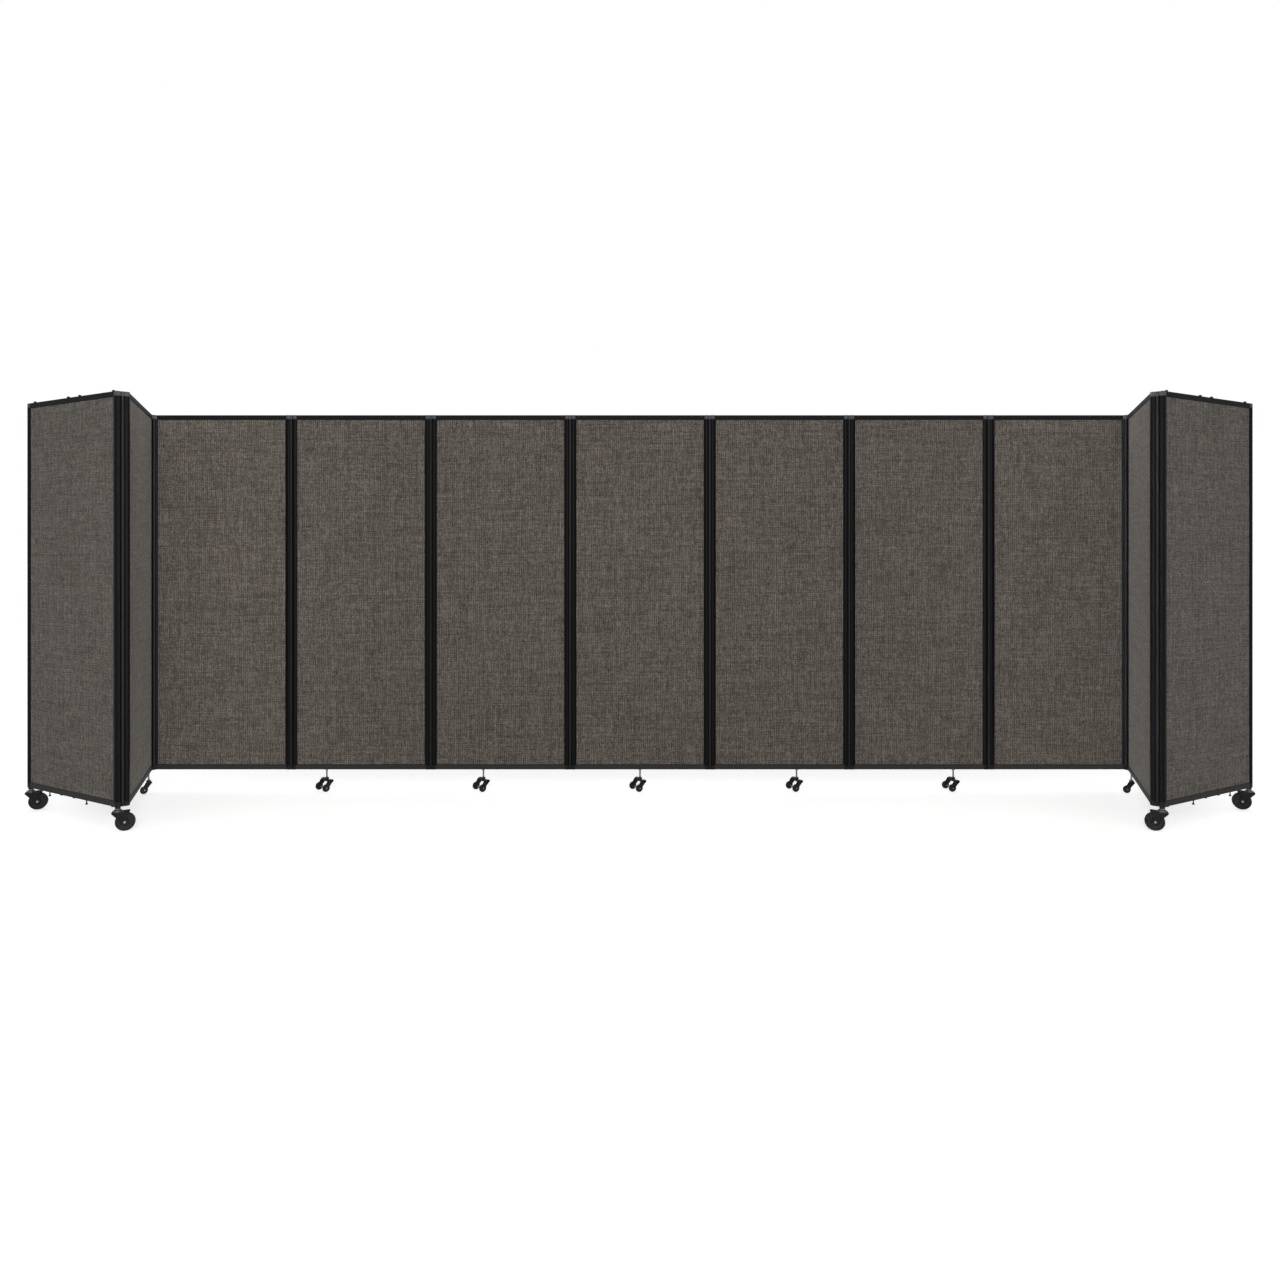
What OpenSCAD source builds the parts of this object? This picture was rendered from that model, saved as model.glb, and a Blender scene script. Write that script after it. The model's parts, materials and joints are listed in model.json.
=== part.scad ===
// Accordion folding partition: eleven fabric covered panels joined by double
// pivot hinges, on four braked end casters and seven small inner casters.
// Millimetres, +Z up. The origin is on the floor, under the middle of panel 6.
// Seen from the front, +X is to the right and +Y goes away from the viewer.

/* [Panels] */
// Width of one panel, from hinge centre to hinge centre
panel_pitch = 850; // [760:10:1000]
// Height of a panel, from its bottom edge to its top edge
panel_h = 2159; // [1500:1:2700]
// Height of the panels' bottom edges above the floor
floor_gap = 127; // [122:1:150]
// Thickness of the fabric covered board
board_t = 22; // [16:1:24]

/* [Posts and rails] */
// Diameter of the round posts at a panel's sides
post_d = 36; // [34:1:42]
// Wall of a post
post_wall = 2; // [1.5:0.1:3]
// Height of the top rail's face
top_rail_h = 27.5; // [22:0.5:40]
// Height of the bottom rail's face
bottom_rail_h = 30; // [26:0.5:44]
// Wall of the rails
rail_wall = 2; // [1.5:0.1:3]
// How far the rails' channels lap over the board
channel_lap = 12; // [8:0.5:14]

/* [Hinges] */
// Gap between two neighbouring posts
post_gap = 2; // [1.5:0.1:4]
// Height of a hinge cap
cap_h = 24; // [18:1:30]
// Diameter of a hinge pin
pin_d = 16; // [14:0.5:18]
// Length of a hinge pin below its cap
pin_l = 24; // [16:1:30]
// Width of the strips that cover the gap between two posts
spine_w = 9; // [6:0.5:10]

/* [End casters] */
// Diameter of an end caster's wheel
end_wheel_d = 94; // [90:1:102]
// Width of an end caster's wheel
end_wheel_w = 32; // [26:1:36]
// Distance from an end caster's stem to its axle
end_trail = 34; // [28:1:38]
// Diameter of an end caster's stem
end_stem_d = 11; // [9:0.5:12]
// Diameter of an end caster's axle
end_axle_d = 10; // [8:0.5:12]

/* [Inner casters] */
// Diameter of an inner caster's wheel
inner_wheel_d = 46; // [40:1:50]
// Width of an inner caster's wheel
inner_wheel_w = 12; // [10:1:14]
// Distance from an inner caster's stem to its axle
inner_trail = 28; // [26:1:34]
// Distance between the two wheels of a twin caster, middle to middle
twin_track = 80; // [76:1:96]
// Diameter of an inner caster's stem
inner_stem_d = 10; // [8:0.5:12]
// Diameter of an inner caster's axle
inner_axle_d = 8; // [6:0.5:9]
// Height of an inner caster's crosspiece above the floor
crosspiece_z = 60; // [58:1:62]

/* [Resting pose] */
// Bend of the outermost hinges, in degrees
outer_bend = 139.5; // [130:0.5:145]
// Bend of the corner hinges, in degrees
corner_bend = 111; // [100:0.5:120]
// How far the end casters are turned out of their panels' plane, in degrees
end_turn = 22; // [0:1:26]
// Direction in which the middle inner caster trails, in degrees from +X
inner_yaw = 210; // [200:1:215]
// How much the direction drops from one inner caster to the next, in degrees
inner_fan = 9.5; // [0:0.5:10]

/* [Hidden] */
$fn = 64;
PANELS = 11;
MIDDLE = (PANELS + 1) / 2;
END_PANELS = [1, PANELS];
CORNER_PANELS = [2, PANELS - 1];
TWIN_PANELS = [for (i = [-2:2]) MIDDLE + i];
INNER_PANELS = concat(CORNER_PANELS[0], TWIN_PANELS, CORNER_PANELS[1]);

// Clearances
fit = 0.05;            // round a pin, stem or axle that turns in its bore
seat = 0.2;            // between pieces that are pushed or screwed together
cope = 0.3;            // between a post and the edges shaped round it
cap_gap = 0.5;         // between a hinge cap and the post below or above it
wheel_gap = 2;         // between a wheel and the fork's legs

post_r = post_d / 2;
link_l = post_d + post_gap;                  // post axis to post axis in a hinge
post_x = (panel_pitch - link_l) / 2;         // post axis from the panel's middle
rail_t = board_t + 2 * (rail_wall + seat);
top_z = floor_gap + panel_h;
pin_r = pin_d / 2;
bore_r = pin_r + fit;

// A plug closes each post's end, and its flange faces the hinge cap
flange_t = 3;
plug_l = 34;
stem_hold = 28;                              // how much deeper the plug over an end caster is
post_low = floor_gap + cap_h + cap_gap + flange_t;
post_high = top_z - cap_h - cap_gap - flange_t;
plug_r = post_r - post_wall - fit;
stem_plug_l = plug_l + stem_hold;

// The sleeve that takes an inner caster's stem
sleeve_r = inner_stem_d / 2 + 4;
sleeve_l = 40;
sleeve_flange_r = sleeve_r + 3;
sleeve_flange_t = 3;
corner_inset = 45;                           // from a corner post to its panel's caster
station_step = panel_pitch / 8;              // how far the stations shift from panel to panel

// Fittings on the end panels' rails, from the panel's middle towards its hinge
stud_places = [-365, -40, 66, 370];
nub_places = [-104, 15, 362];
glide_places = [-219, 129];
stud_d = 15;
stud_h = 10;
nub_h = 6;
glide_stem_d = 6;
glide_d = 18;
glide_h = 26;
glide_foot_h = 6;

// ---------- the folded chain at rest ----------

function dir(a) = [cos(a), sin(a)];

// Turn at hinge k, from panel k to panel k + 1
function bend(k) = k == 1 || k == PANELS - 1 ? outer_bend : k == 2 || k == PANELS - 2 ? -corner_bend : 0;

function heading(i) =
    i == MIDDLE ? 0 : i > MIDDLE ? heading(i - 1) + bend(i - 1) : heading(i + 1) - bend(i);

function link_heading(k) = heading(k) + bend(k) / 2;

// Step from the middle of panel k to the middle of panel k + 1
function step(k) =
    post_x * dir(heading(k)) + link_l * dir(link_heading(k)) + post_x * dir(heading(k + 1));

function middle(i) =
    i == MIDDLE ? [0, 0] : i > MIDDLE ? middle(i - 1) + step(i - 1) : middle(i + 1) - step(i);

function on_panel(i, x) = middle(i) + x * dir(heading(i));

function link_middle(k) = on_panel(k, post_x) + link_l / 2 * dir(link_heading(k));

// Where panel i carries its inner caster, from the panel's middle
function station(i) =
    i == CORNER_PANELS[0] ? post_x - corner_inset :
    i == CORNER_PANELS[1] ? corner_inset - post_x :
    (i - MIDDLE) * station_step;

function has(list, i) = len(search(i, list)) > 0;

module at(place, turn) {
    translate([place[0], place[1], 0]) rotate([0, 0, turn]) children();
}

module in_panel(i) {
    at(middle(i), heading(i)) children();
}

module tube_cut(r, low, high) {
    translate([0, 0, low]) cylinder(r = r, h = high - low);
}

// A solid of revolution about the Y axis, at height z and distance x
module on_axle(x, z) {
    translate([x, 0, z]) rotate([90, 0, 0]) children();
}

// ---------- frame ----------

module post() {
    color("#1c1d1f") difference() {
        tube_cut(post_r, post_low, post_high);
        tube_cut(post_r - post_wall, post_low - 1, post_high + 1);
    }
}

// Plug with its flange at z = 0 and its body above
module hinge_plug() {
    color("#2b2c2f") difference() {
        union() {
            cylinder(r = post_r, h = flange_t - fit);
            cylinder(r = plug_r, h = plug_l);
        }
        tube_cut(bore_r, -1, plug_l + 1);
    }
}

// The plug over an end caster takes the hinge pin and, above it, the stem
module hinge_and_stem_plug() {
    color("#2b2c2f") difference() {
        union() {
            cylinder(r = post_r, h = flange_t - fit);
            cylinder(r = plug_r, h = stem_plug_l);
        }
        tube_cut(bore_r, -1, pin_l + 2);
        tube_cut(end_stem_d / 2 + fit, -1, stem_plug_l + 1);
    }
}

// Free end of an end panel: a cap as tall as a hinge cap, with its plug
module free_end_cap(bore, body_l) {
    reach = cap_h + cap_gap + flange_t - fit;
    round = 5;
    color("#a9abae") difference() {
        union() {
            rotate_extrude() {
                translate([0, round]) square([post_r, reach - round]);
                square([post_r - round, round + 1]);
                translate([post_r - round, round]) circle(r = round);
            }
            cylinder(r = plug_r, h = reach + body_l);
        }
        tube_cut(bore, -1, reach + body_l + 1);
    }
}

module rail_profile(h) {
    lap_z = h - channel_lap;
    difference() {
        translate([-rail_t / 2, 0]) square([rail_t, h]);
        translate([-rail_t / 2 + rail_wall, rail_wall])
            square([rail_t - 2 * rail_wall, lap_z - 2 * rail_wall]);
        translate([-rail_t / 2 + rail_wall, lap_z]) square([rail_t - 2 * rail_wall, channel_lap + 1]);
    }
}

// Rail with its outer edge at z = 0 and its channel opening upwards
module rail(h) {
    difference() {
        translate([-post_x, 0, 0]) rotate([90, 0, 90]) linear_extrude(2 * post_x) rail_profile(h);
        for (s = [-1, 1]) translate([s * post_x, 0, 0]) tube_cut(post_r + cope, -1, h + 1);
    }
}

module sleeve() {
    color("#8d9094") difference() {
        union() {
            tube_cut(sleeve_flange_r, floor_gap - sleeve_flange_t, floor_gap - fit);
            tube_cut(sleeve_r, floor_gap - sleeve_flange_t, floor_gap + sleeve_l);
        }
        tube_cut(inner_stem_d / 2 + fit, floor_gap - sleeve_flange_t - 1, floor_gap + sleeve_l + 1);
    }
}

module plugs(i, side) {
    hinge_side = i == 1 ? 1 : i == PANELS ? -1 : side;
    bottom = post_low - flange_t;
    top = post_high + flange_t;
    if (side != hinge_side) {
        translate([0, 0, floor_gap]) free_end_cap(end_stem_d / 2 + fit, plug_l);
        translate([0, 0, top_z]) mirror([0, 0, 1]) free_end_cap(bore_r, plug_l);
    } else {
        translate([0, 0, top]) mirror([0, 0, 1]) hinge_plug();
        translate([0, 0, bottom]) {
            if (has(END_PANELS, i)) hinge_and_stem_plug();
            else hinge_plug();
        }
    }
}

module frame(i) {
    in_panel(i) {
        for (side = [-1, 1]) translate([side * post_x, 0, 0]) {
            post();
            plugs(i, side);
        }
        color("#1c1d1f") translate([0, 0, top_z]) mirror([0, 0, 1]) rail(top_rail_h);
        color("#3a3b3e") difference() {
            translate([0, 0, floor_gap]) rail(bottom_rail_h);
            if (has(INNER_PANELS, i))
                translate([station(i), 0, 0]) tube_cut(sleeve_r + fit, floor_gap - 1, top_z);
        }
        if (has(INNER_PANELS, i)) translate([station(i), 0, 0]) sleeve();
    }
}

// ---------- board ----------

module board(i) {
    low = floor_gap + bottom_rail_h - channel_lap + seat;
    high = top_z - top_rail_h + channel_lap - seat;
    edge = post_x - post_r * 0.85;
    in_panel(i) color("#a39b92") difference() {
        translate([-edge, -board_t / 2, low]) cube([2 * edge, board_t, high - low]);
        for (s = [-1, 1]) translate([s * post_x, 0, 0]) tube_cut(post_r + cope, low - 1, high + 1);
        if (has(INNER_PANELS, i))
            translate([station(i), 0, 0]) tube_cut(sleeve_r + 2 * seat, low - 1, floor_gap + sleeve_l + 1);
    }
}

// ---------- hinges ----------

module cap_outline() {
    for (s = [-1, 1]) translate([s * link_l / 2, 0]) circle(r = post_r);
    square([spine_w, post_d - 2], center = true);
}

// Cap with its outer face at z = 0 and its pins pointing up
module hinge_cap(stem_side) {
    color("#a9abae") difference() {
        union() {
            linear_extrude(cap_h) cap_outline();
            for (s = [-1, 1]) translate([s * link_l / 2, 0, 0]) cylinder(r = pin_r, h = cap_h + cap_gap + pin_l);
        }
        if (stem_side != 0)
            translate([stem_side * link_l / 2, 0, 0])
                tube_cut(end_stem_d / 2 + 1, -1, cap_h + cap_gap + pin_l + 1);
    }
}

module spine() {
    low = floor_gap + cap_h + seat;
    high = top_z - cap_h - seat;
    color("#2a2b2e") translate([0, 0, low]) linear_extrude(high - low) difference() {
        translate([-spine_w / 2, -post_r + 1]) square([spine_w, post_r * 0.65]);
        for (s = [-1, 1]) translate([s * link_l / 2, 0]) circle(r = post_r + 2 * cope);
    }
}

module hinge_link(k) {
    stem_side = k == 1 ? -1 : k == PANELS - 1 ? 1 : 0;
    at(link_middle(k), link_heading(k)) {
        translate([0, 0, floor_gap]) hinge_cap(stem_side);
        translate([0, 0, top_z]) mirror([0, 0, 1]) hinge_cap(0);
        spine();
        rotate([0, 0, 180]) spine();
    }
}

// ---------- end casters ----------

// Number 1 and 2 are under panel 1, number 3 and 4 under panel 11
function end_panel(n) = n < 3 ? END_PANELS[0] : END_PANELS[1];
function end_side(n) = n % 2 == 1 ? -1 : 1;
function end_yaw(n) = n < 3 ? end_turn : 180 - end_turn;

end_r = end_wheel_d / 2;
leg_t = 3;
leg_y = end_wheel_w / 2 + wheel_gap;         // inner face of a fork leg
crown_x = 24;                                // rear edge of the crown plate
crown_t = 4;
crown_z = end_wheel_d + 4;
race_r = 21;
race_h = 9;
axle_boss_r = 13;
horn_x = -27;                                // tip of the fork's front edge
pedal_x = end_trail + 7;
pedal_z = crown_z + 1;
pedal_pin_r = 3;
pad_r = 5;                                   // half the thickness of the pedal's pad
pad_nose = 15;                               // how far the pad reaches past its pin
tread_r = 7;                                 // rounding of the tread's edges
rim_r = end_r * 0.66;                        // inside of the tread
rim_w = end_wheel_w - 6;
web_r = end_r * 0.52;
web_t = 8;
boss_r = end_axle_d / 2 + 7;

module at_end_caster(n) {
    at(on_panel(end_panel(n), end_side(n) * post_x), end_yaw(n)) children();
}

module fork_leg() {
    axle = [end_trail, end_r];
    difference() {
        union() {
            polygon([
                [horn_x, crown_z + crown_t],
                [horn_x, crown_z - 4],
                [end_trail - axle_boss_r - 8, end_r + 6],
                [end_trail - axle_boss_r + 1, end_r - 6],
                [end_trail + axle_boss_r, end_r],
                [end_trail + axle_boss_r - 1, end_r + 14],
                [pedal_x - 8, crown_z - 12],
                [pedal_x + 5, crown_z - 6],
                [pedal_x + 5, crown_z + crown_t]
            ]);
            translate(axle) circle(r = axle_boss_r);
        }
        translate(axle) circle(r = end_axle_d / 2 + fit);
        translate([pedal_x, pedal_z]) circle(r = pedal_pin_r + fit);
    }
}

// The crown's plate joins the two legs between the horn and the pedal
module crown_plate() {
    width = 2 * leg_y;
    translate([horn_x, -width / 2, crown_z])
        cube([crown_x - horn_x, width, crown_t]);
}

module end_fork() {
    nut_low = crown_z + crown_t + race_h;
    stem_top = floor_gap + cap_h + cap_gap + stem_plug_l - 4;
    color("#26272a") {
        for (s = [-1, 1]) translate([0, s * (leg_y + leg_t / 2) + leg_t / 2, 0])
            rotate([90, 0, 0]) linear_extrude(leg_t) fork_leg();
        crown_plate();
    }
    color("#c9cbcf") {
        rotate_extrude() polygon([
            [0, crown_z + crown_t],
            [race_r, crown_z + crown_t],
            [race_r, nut_low - 4],
            [race_r - 5, nut_low],
            [0, nut_low]
        ]);
        tube_cut(end_stem_d / 2 + 4, nut_low, floor_gap - cope);
        tube_cut(end_stem_d / 2, nut_low, stem_top);
    }
    color("#e2e3e5") on_axle(end_trail, end_r) {
        cylinder(r = end_axle_d / 2, h = 2 * (leg_y + leg_t) + 6, center = true);
        for (s = [-1, 1]) translate([0, 0, s * (leg_y + leg_t + 2 + fit)])
            cylinder(r = end_axle_d / 2 + 3, h = 4, center = true);
    }
}

module end_wheel() {
    half = end_wheel_w / 2;
    on_axle(end_trail, end_r) {
        color("#2a2b2d") rotate_extrude() {
            translate([rim_r, -half + tread_r]) square([end_r - rim_r, 2 * (half - tread_r)]);
            translate([rim_r, -half]) square([end_r - rim_r - tread_r, 2 * half]);
            for (s = [-1, 1]) translate([end_r - tread_r, s * (half - tread_r)]) circle(r = tread_r);
        }
        color("#8f9195") rotate_extrude() {
            translate([end_r / 2, -rim_w / 2]) square([rim_r - seat - end_r / 2, rim_w]);
            translate([boss_r - 1, -web_t / 2]) square([web_r - boss_r + 1, web_t]);
            translate([end_axle_d / 2 + fit, -half]) square([boss_r - end_axle_d / 2, 2 * half]);
        }
    }
}

// The pedal is down at rest, with its shoe just clear of the tread
module brake_pedal() {
    pad_w = 2 * leg_y - 2 * wheel_gap;
    color("#3b3c3f") on_axle(pedal_x, pedal_z) {
        cylinder(r = pedal_pin_r, h = 2 * (leg_y + leg_t) + 2, center = true);
        linear_extrude(pad_w, center = true) {
            circle(r = pad_r);
            polygon([
                [-2, pad_r],
                [-4, 2],
                [-2, -1],
                [pad_nose - 6, -4],
                [pad_nose, -2],
                [pad_nose, 2],
                [pad_nose - 5, pad_r]
            ]);
        }
    }
}

// ---------- inner casters ----------

inner_r = inner_wheel_d / 2;
cheek_t = 3;
cheek_gap = 1.5;                             // between a wheel and its cheeks
crosspiece_r = 9;
cheek_boss_r = 11;
axle_eye_r = 8;
nose_l = 16;                                 // how far the nose reaches past the stem
axle_end = 1;                                // how far the axle stands out of the cheeks
head_r = 13;
head_h = 8;
head_z = crosspiece_z + crosspiece_r - 1;

function caster_yaw(i) =
    inner_yaw - inner_fan * (search(i, INNER_PANELS)[0] - (len(INNER_PANELS) - 1) / 2);

module at_inner_caster(i) {
    at(on_panel(i, station(i)), caster_yaw(i)) children();
}

function wheel_places(i) = has(TWIN_PANELS, i) ? [-twin_track / 2, twin_track / 2] : [0];

// Outer face of the outermost cheek, from the caster's middle
function yoke_half(i) = wheel_places(i)[len(wheel_places(i)) - 1] + inner_wheel_w / 2 + cheek_gap + cheek_t;

// One cheek: a nose in front of the stem, the crosspiece's boss and the axle's eye
module cheek_outline() {
    reach = [inner_trail, inner_r - crosspiece_z];
    run = norm(reach);
    turn = atan2(reach[1], reach[0]);
    difference() {
        union() {
            translate([0, crosspiece_z]) {
                rotate(turn) {
                    circle(r = cheek_boss_r);
                    polygon([
                        [0, cheek_boss_r - 0.5],
                        [run, axle_eye_r - 0.5],
                        [run, 0.5 - axle_eye_r],
                        [0, 0.5 - cheek_boss_r]
                    ]);
                    translate([run, 0]) circle(r = axle_eye_r);
                }
                polygon([
                    [0, cheek_boss_r - 1],
                    [-nose_l, 6],
                    [-nose_l, -1],
                    [-3, -cheek_boss_r + 1]
                ]);
            }
        }
        translate([inner_trail, inner_r]) circle(r = inner_axle_d / 2 + fit);
    }
}

module caster_yoke(i) {
    half = yoke_half(i);
    cheek_y = inner_wheel_w / 2 + cheek_gap;
    at_inner_caster(i) {
        color("#26272a") {
            for (y = wheel_places(i), s = [-1, 1])
                translate([0, y + s * (cheek_y + cheek_t / 2) + cheek_t / 2, 0])
                    rotate([90, 0, 0]) linear_extrude(cheek_t) cheek_outline();
            on_axle(0, crosspiece_z) cylinder(r = crosspiece_r, h = 2 * half, center = true);
            tube_cut(head_r, head_z, head_z + head_h);
            tube_cut(head_r - 4, crosspiece_z, head_z + 1);
        }
        color("#d5d7da") tube_cut(inner_stem_d / 2, head_z + head_h, floor_gap + sleeve_l - 4);
    }
}

module inner_wheel() {
    half = inner_wheel_w / 2;
    tread_r = 4;
    rotate_extrude() {
        translate([0, -half + tread_r]) square([inner_r, 2 * (half - tread_r)]);
        translate([0, -half]) square([inner_r - tread_r, 2 * half]);
        for (s = [-1, 1]) translate([inner_r - tread_r, s * (half - tread_r)]) circle(r = tread_r);
    }
}

module caster_wheels(i) {
    at_inner_caster(i) color("#2a2b2d") on_axle(inner_trail, inner_r) {
        for (z = wheel_places(i)) translate([0, 0, z]) inner_wheel();
        cylinder(r = inner_axle_d / 2, h = 2 * (yoke_half(i) + axle_end), center = true);
    }
}

// ---------- fittings on the end panels' rails ----------

module rail_fittings(i) {
    to_hinge = i == 1 ? 1 : -1;
    in_panel(i) color("#3a3b3e") {
        for (x = stud_places) translate([to_hinge * x, 0, top_z + fit]) {
            cylinder(r = stud_d / 2, h = stud_h - 3);
            cylinder(r = stud_d / 2 - 3, h = stud_h);
        }
        for (x = nub_places) translate([to_hinge * x, 0, 0])
            tube_cut(stud_d / 2, floor_gap - nub_h, floor_gap - fit);
        for (x = glide_places) translate([to_hinge * x, 0, 0]) {
            tube_cut(glide_stem_d / 2, floor_gap - glide_h, floor_gap - fit);
            tube_cut(glide_d / 2, floor_gap - glide_h, floor_gap - glide_h + glide_foot_h);
        }
    }
}

// ---------- nodes ----------

function two(i) = i < 10 ? str("0", i) : str(i);
function frame_name(i) = str("frame_", two(i));
function board_name(i) = str("board_", two(i));
function link_name(k) = str("hinge_link_", two(k));
function fork_name(n) = str("end_fork_", n);
function end_wheel_name(n) = str("end_wheel_", n);
function pedal_name(n) = str("brake_pedal_", n);
function yoke_name(i) = str("caster_yoke_", two(i));
function wheels_name(i) = str("caster_wheels_", two(i));
function fittings_name(i) = str("rail_fittings_", two(i));

for (i = [1:PANELS]) {
    frame(i);
    board(i);
}
for (k = [1:PANELS - 1]) {
    hinge_link(k);
}
for (n = [1:4]) {
    at_end_caster(n) end_fork();
    at_end_caster(n) end_wheel();
    at_end_caster(n) brake_pedal();
}
for (i = INNER_PANELS) {
    caster_yoke(i);
    caster_wheels(i);
}
for (i = END_PANELS) {
    rail_fittings(i);
}
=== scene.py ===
"""Looks of an accordion folding partition: eleven cloth covered panels in black
frames, joined by double pivot hinges, on braked end casters and small inner
casters. Pieces are drawn in millimetres in their own frame, and set_piece()
moves them to their place in metres."""

import json
import math

import bmesh
import bpy
from mathutils import Matrix, Vector, noise

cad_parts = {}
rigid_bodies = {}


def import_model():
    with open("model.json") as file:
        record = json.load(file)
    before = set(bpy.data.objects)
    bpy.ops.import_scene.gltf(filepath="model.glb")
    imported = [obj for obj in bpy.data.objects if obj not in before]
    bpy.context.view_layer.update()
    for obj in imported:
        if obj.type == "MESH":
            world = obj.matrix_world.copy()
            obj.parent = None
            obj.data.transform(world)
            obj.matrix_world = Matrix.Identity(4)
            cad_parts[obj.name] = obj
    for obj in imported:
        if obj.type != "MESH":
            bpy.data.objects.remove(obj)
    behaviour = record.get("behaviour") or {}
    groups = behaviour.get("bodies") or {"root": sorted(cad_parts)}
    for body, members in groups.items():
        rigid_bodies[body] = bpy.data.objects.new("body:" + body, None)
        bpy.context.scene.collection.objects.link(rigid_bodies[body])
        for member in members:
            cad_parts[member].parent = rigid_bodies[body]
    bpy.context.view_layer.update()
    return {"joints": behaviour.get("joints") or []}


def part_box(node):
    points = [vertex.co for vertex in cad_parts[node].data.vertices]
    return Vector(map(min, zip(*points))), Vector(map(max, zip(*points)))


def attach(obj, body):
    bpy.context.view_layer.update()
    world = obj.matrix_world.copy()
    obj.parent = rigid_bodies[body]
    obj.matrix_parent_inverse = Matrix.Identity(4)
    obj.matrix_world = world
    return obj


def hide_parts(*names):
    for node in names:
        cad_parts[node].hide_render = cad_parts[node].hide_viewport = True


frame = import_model()

# ---------- sizes, in millimetres ----------

PANELS = range(1, 12)
HINGES = range(1, 11)
END_CASTERS = range(1, 5)
INNER_PANELS = [2, 4, 5, 6, 7, 8, 10]
TWIN_PANELS = [4, 5, 6, 7, 8]

POST_D = 36.0
TOP_RAIL_H = 27.5
BOTTOM_RAIL_H = 30.0
RAIL_T = 26.4
RAIL_WALL = 2.0
CHANNEL_LAP = 12.0
BOARD_T = 22.0
COPE = 0.3
CAP_H = 24.0
CAP_GAP = 0.5
FLANGE_T = 3.0
PIN_D = 16.0
PIN_L = 24.0
STRIP_W = 9.0
BEAD_R = 1.3
# play between a pin or stem and its bore
FIT = 0.05
MM = 0.001

# ---------- the frame's own places ----------

joints = {j["name"]: j for j in frame["joints"]}


def two(i):
    return f"{i:02d}"


def axis_at(joint):
    """Where a joint's axis is, in metres."""
    return Vector(joints[joint]["pos_m"])


def hinge_post(k, panel):
    """The post axis of hinge k on that panel, in metres."""
    near = joints[f"hinge_{two(k)}_near"]
    kind = "near" if near["parent"] == f"panel_{two(panel)}" else "far"
    return axis_at(f"hinge_{two(k)}_{kind}")


def left_post(i):
    return axis_at("end_swivel_1") if i == 1 else hinge_post(i - 1, i)


def right_post(i):
    return axis_at("end_swivel_4") if i == 11 else hinge_post(i, i)


def facing(a, b, origin):
    """Matrix with its origin on the floor under that point, and X from a to b."""
    run = b - a
    turn = Matrix.Rotation(math.atan2(run.y, run.x), 4, "Z")
    return Matrix.Translation((origin.x, origin.y, 0)) @ turn


def between(a, b):
    return facing(a, b, (a + b) / 2)


def caster_place(swivel, roll):
    """Under a caster's stem, with X towards its axle."""
    stem = axis_at(swivel)
    return facing(stem, axis_at(roll), stem)


panel_place = {i: between(left_post(i), right_post(i)) for i in PANELS}
hinge_place = {k: between(hinge_post(k, k), hinge_post(k, k + 1)) for k in HINGES}

LOW_Z, HIGH_Z = (corner.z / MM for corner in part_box("hinge_link_06"))
UP_FROM_FOOT = Matrix.Translation((0, 0, LOW_Z * MM))
DOWN_FROM_TOP = Matrix.Translation((0, 0, HIGH_Z * MM)) @ Matrix.Rotation(math.pi, 4, "X")
POST_X = (right_post(6) - left_post(6)).length / 2 / MM
LINK_L = (hinge_post(6, 7) - hinge_post(6, 6)).length / MM

# ---------- mesh helpers ----------


def mirrored(points):
    """The (x, y) points, and then the same backwards with y negated."""
    return points + [(x, -y) for x, y in reversed(points)]


def rounded(points, radii, steps):
    """The outline with each corner turned into an arc of its radius."""
    made = []
    count = len(points)
    for n, here in enumerate(points):
        here = Vector(here)
        before = Vector(points[n - 1]) - here
        after = Vector(points[(n + 1) % count]) - here
        r = min(radii[n], before.length * 0.49, after.length * 0.49)
        if r < 1e-6:
            made.append(tuple(here))
            continue
        half = before.angle(after) / 2
        cut = min(r / math.tan(half), before.length * 0.49, after.length * 0.49)
        start = here + before.normalized() * cut
        end = here + after.normalized() * cut
        for s in range(steps + 1):
            t = s / steps
            made.append(tuple(start.lerp(here, t).lerp(here.lerp(end, t), t)))
    return made


def circle_points(radius, steps, centre=(0.0, 0.0)):
    turns = [2 * math.pi * s / steps for s in range(steps)]
    return [(centre[0] + radius * math.cos(a), centre[1] + radius * math.sin(a)) for a in turns]


def arc(x, y, radius, first, last, steps):
    """Points on an arc about (x, y) from one angle to another, in degrees."""
    turns = [math.radians(first + (last - first) * s / steps) for s in range(steps + 1)]
    return [(x + radius * math.cos(a), y + radius * math.sin(a)) for a in turns]


def revolve(profile, steps):
    """Solid of revolution about Z from (radius, height) points. A profile that
    doesn't start on the axis is a closed ring."""
    bm = bmesh.new()
    rows = []
    for r, z in profile:
        level = circle_points(r, steps) if r > 0 else [(0, 0)]
        rows.append([bm.verts.new((x, y, z)) for x, y in level])
    pairs = list(zip(rows, rows[1:]))
    if profile[0][0] > 0:
        pairs.append((rows[-1], rows[0]))
    for low, high in pairs:
        for s in range(steps):
            t = (s + 1) % steps
            if len(low) == 1:
                bm.faces.new((low[0], high[t], high[s]))
            elif len(high) == 1:
                bm.faces.new((low[s], low[t], high[0]))
            else:
                bm.faces.new((low[s], low[t], high[t], high[s]))
    bmesh.ops.recalc_face_normals(bm, faces=bm.faces)
    return bm


SOFTENED = {"segments": 2, "profile": 0.5, "affect": "EDGES"}


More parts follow.
